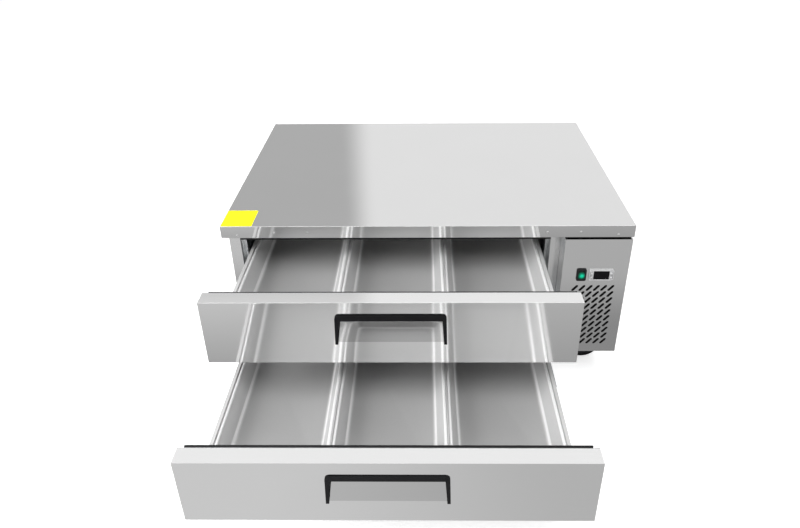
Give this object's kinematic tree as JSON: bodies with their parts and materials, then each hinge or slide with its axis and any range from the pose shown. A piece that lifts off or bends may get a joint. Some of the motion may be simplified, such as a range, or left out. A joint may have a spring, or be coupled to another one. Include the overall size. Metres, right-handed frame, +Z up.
{
  "type": "refrigerated chef base",
  "caption": "Low refrigerated cabinet on casters with a flat stainless worktop, wide drawers holding food pans, and a machine compartment at one end.",
  "frame": {"origin": "on the floor, in the middle of the whole with its drawers as stored open, midway between the worktop's ends", "axes": "+Z up, +Y towards the back, +X to the right as seen from the front, where the machine compartment is"},
  "size_m": [1.321, 1.461, 0.676],
  "materials": {
    "worktop": "brushed stainless steel with a fine long grain",
    "body_sheet": "brushed stainless steel, soft reflections",
    "drawer_sheet": "brushed stainless steel, soft reflections",
    "liner_sheet": "satin aluminium sheet",
    "zinc_sheet": "zinc coated steel sheet with a dull sheen",
    "foam": "closed-cell foam, matt",
    "seal": "black magnetic seal, matt",
    "handle_plastic": "black moulded plastic, satin",
    "pan_steel": "pressed stainless steel, satin",
    "slide_steel": "bright zinc plated steel",
    "controller_plastic": "light grey moulded plastic",
    "button_plastic": "light grey moulded plastic",
    "switch_plastic": "black moulded plastic",
    "rocker_plastic": "green translucent plastic",
    "gland_plastic": "black nylon",
    "compressor_paint": "black paint on pressed steel",
    "coil_metal": "aluminium fins on bent tube",
    "fan_plastic": "black moulded plastic",
    "wheel_rubber": "black caster tread and hub",
    "lever_plastic": "black moulded pedal"
  },
  "bodies": {
    "cabinet": {"worktop": "worktop", "left_side_panel": "body_sheet", "right_side_panel": "body_sheet", "face_frame": "body_sheet", "machine_panel": "body_sheet", "back_panel": "zinc_sheet", "base_panel": "zinc_sheet", "condenser_fan_mount": "zinc_sheet", "cord_gland": "gland_plastic", "cabinet_insulation": "foam", "inner_liner": "liner_sheet", "controller_bezel": "controller_plastic", "switch_housing": "switch_plastic", "compressor": "compressor_paint", "condenser_coil": "coil_metal", "evaporator_coil": "coil_metal", "evaporator_housing": "liner_sheet", "upper_left_slide_outer": "slide_steel", "upper_right_slide_outer": "slide_steel", "lower_left_slide_outer": "slide_steel", "lower_right_slide_outer": "slide_steel"},
    "upper_drawer": {"upper_front_skin": "drawer_sheet", "upper_front_foam": "foam", "upper_front_liner": "drawer_sheet", "upper_gasket": "seal", "upper_handle": "handle_plastic", "upper_drawer_frame": "drawer_sheet", "upper_left_pan": "pan_steel", "upper_middle_pan": "pan_steel", "upper_right_pan": "pan_steel"},
    "upper_slide_middles": {"upper_left_slide_middle": "slide_steel", "upper_right_slide_middle": "slide_steel"},
    "lower_drawer": {"lower_front_skin": "drawer_sheet", "lower_front_foam": "foam", "lower_front_liner": "drawer_sheet", "lower_gasket": "seal", "lower_handle": "handle_plastic", "lower_drawer_frame": "drawer_sheet", "lower_left_pan": "pan_steel", "lower_middle_pan": "pan_steel", "lower_right_pan": "pan_steel"},
    "lower_slide_middles": {"lower_left_slide_middle": "slide_steel", "lower_right_slide_middle": "slide_steel"},
    "switch_rocker": {"switch_rocker": "rocker_plastic"},
    "controller_button_upper_left": {"controller_button_upper_left": "button_plastic"},
    "controller_button_upper_right": {"controller_button_upper_right": "button_plastic"},
    "controller_button_lower_left": {"controller_button_lower_left": "button_plastic"},
    "controller_button_lower_right": {"controller_button_lower_right": "button_plastic"},
    "condenser_fan": {"condenser_fan": "fan_plastic"},
    "evaporator_fan": {"evaporator_fan": "fan_plastic"},
    "front_left_caster_fork": {"front_left_caster_fork": "slide_steel"},
    "front_left_caster_wheel": {"front_left_caster_wheel": "wheel_rubber"},
    "front_left_caster_brake_lever": {"front_left_caster_brake_lever": "lever_plastic"},
    "front_right_caster_fork": {"front_right_caster_fork": "slide_steel"},
    "front_right_caster_wheel": {"front_right_caster_wheel": "wheel_rubber"},
    "front_right_caster_brake_lever": {"front_right_caster_brake_lever": "lever_plastic"},
    "rear_left_caster_fork": {"rear_left_caster_fork": "slide_steel"},
    "rear_left_caster_wheel": {"rear_left_caster_wheel": "wheel_rubber"},
    "rear_right_caster_fork": {"rear_right_caster_fork": "slide_steel"},
    "rear_right_caster_wheel": {"rear_right_caster_wheel": "wheel_rubber"}
  },
  "joints": [
    {"name": "upper_drawer_slide", "type": "slide", "parent": "cabinet", "child": "upper_drawer", "axis": [0, -1, 0], "range_m": [-0.302, 0.318]},
    {"name": "upper_slide_travel", "type": "slide", "parent": "cabinet", "child": "upper_slide_middles", "axis": [0, -1, 0], "range_m": [-0.151, 0.159]},
    {"name": "lower_drawer_slide", "type": "slide", "parent": "cabinet", "child": "lower_drawer", "axis": [0, -1, 0], "range_m": [-0.62, 0]},
    {"name": "lower_slide_travel", "type": "slide", "parent": "cabinet", "child": "lower_slide_middles", "axis": [0, -1, 0], "range_m": [-0.31, 0]},
    {"name": "power_rocker", "type": "hinge", "parent": "cabinet", "child": "switch_rocker", "pos_m": [0.5068, -0.1055, 0.4875], "axis": [1, 0, 0], "range_deg": [0, 16]},
    {"name": "press_upper_left_button", "type": "slide", "parent": "cabinet", "child": "controller_button_upper_left", "axis": [0, 1, 0], "range_m": [0, 0.0008], "stiffness_N_per_m": 400, "springref_m": -0.0004},
    {"name": "press_upper_right_button", "type": "slide", "parent": "cabinet", "child": "controller_button_upper_right", "axis": [0, 1, 0], "range_m": [0, 0.0008], "stiffness_N_per_m": 400, "springref_m": -0.0004},
    {"name": "press_lower_left_button", "type": "slide", "parent": "cabinet", "child": "controller_button_lower_left", "axis": [0, 1, 0], "range_m": [0, 0.0008], "stiffness_N_per_m": 400, "springref_m": -0.0004},
    {"name": "press_lower_right_button", "type": "slide", "parent": "cabinet", "child": "controller_button_lower_right", "axis": [0, 1, 0], "range_m": [0, 0.0008], "stiffness_N_per_m": 400, "springref_m": -0.0004},
    {"name": "condenser_fan_spin", "type": "hinge", "parent": "cabinet", "child": "condenser_fan", "pos_m": [0.5508, -0.0275, 0.31665], "axis": [0, 1, 0], "continuous": true},
    {"name": "evaporator_fan_spin", "type": "hinge", "parent": "cabinet", "child": "evaporator_fan", "pos_m": [-0.106, 0.5925, 0.5375], "axis": [0, 1, 0], "continuous": true},
    {"name": "front_left_swivel", "type": "hinge", "parent": "cabinet", "child": "front_left_caster_fork", "pos_m": [-0.5515, 0.0445, 0.147], "axis": [0, 0, 1], "continuous": true},
    {"name": "front_left_roll", "type": "hinge", "parent": "front_left_caster_fork", "child": "front_left_caster_wheel", "pos_m": [-0.5135, 0.0445, 0.0635], "axis": [0, 1, 0], "continuous": true},
    {"name": "front_left_brake", "type": "hinge", "parent": "front_left_caster_fork", "child": "front_left_caster_brake_lever", "pos_m": [-0.5275, 0.0445, 0.1347], "axis": [0, 1, 0], "range_deg": [0, 5]},
    {"name": "front_right_swivel", "type": "hinge", "parent": "cabinet", "child": "front_right_caster_fork", "pos_m": [0.5515, 0.0445, 0.147], "axis": [0, 0, 1], "continuous": true},
    {"name": "front_right_roll", "type": "hinge", "parent": "front_right_caster_fork", "child": "front_right_caster_wheel", "pos_m": [0.5895, 0.0445, 0.0635], "axis": [0, 1, 0], "continuous": true},
    {"name": "front_right_brake", "type": "hinge", "parent": "front_right_caster_fork", "child": "front_right_caster_brake_lever", "pos_m": [0.5755, 0.0445, 0.1347], "axis": [0, 1, 0], "range_deg": [0, 5]},
    {"name": "rear_left_swivel", "type": "hinge", "parent": "cabinet", "child": "rear_left_caster_fork", "pos_m": [-0.5515, 0.6205, 0.147], "axis": [0, 0, 1], "continuous": true},
    {"name": "rear_left_roll", "type": "hinge", "parent": "rear_left_caster_fork", "child": "rear_left_caster_wheel", "pos_m": [-0.5135, 0.6205, 0.0635], "axis": [0, 1, 0], "continuous": true},
    {"name": "rear_right_swivel", "type": "hinge", "parent": "cabinet", "child": "rear_right_caster_fork", "pos_m": [0.5515, 0.6205, 0.147], "axis": [0, 0, 1], "continuous": true},
    {"name": "rear_right_roll", "type": "hinge", "parent": "rear_right_caster_fork", "child": "rear_right_caster_wheel", "pos_m": [0.5895, 0.6205, 0.0635], "axis": [0, 1, 0], "continuous": true}
  ],
  "couplings": [
    {"joint": "upper_slide_travel", "follows": "upper_drawer_slide", "ratio": 0.5},
    {"joint": "lower_slide_travel", "follows": "lower_drawer_slide", "ratio": 0.5}
  ]
}
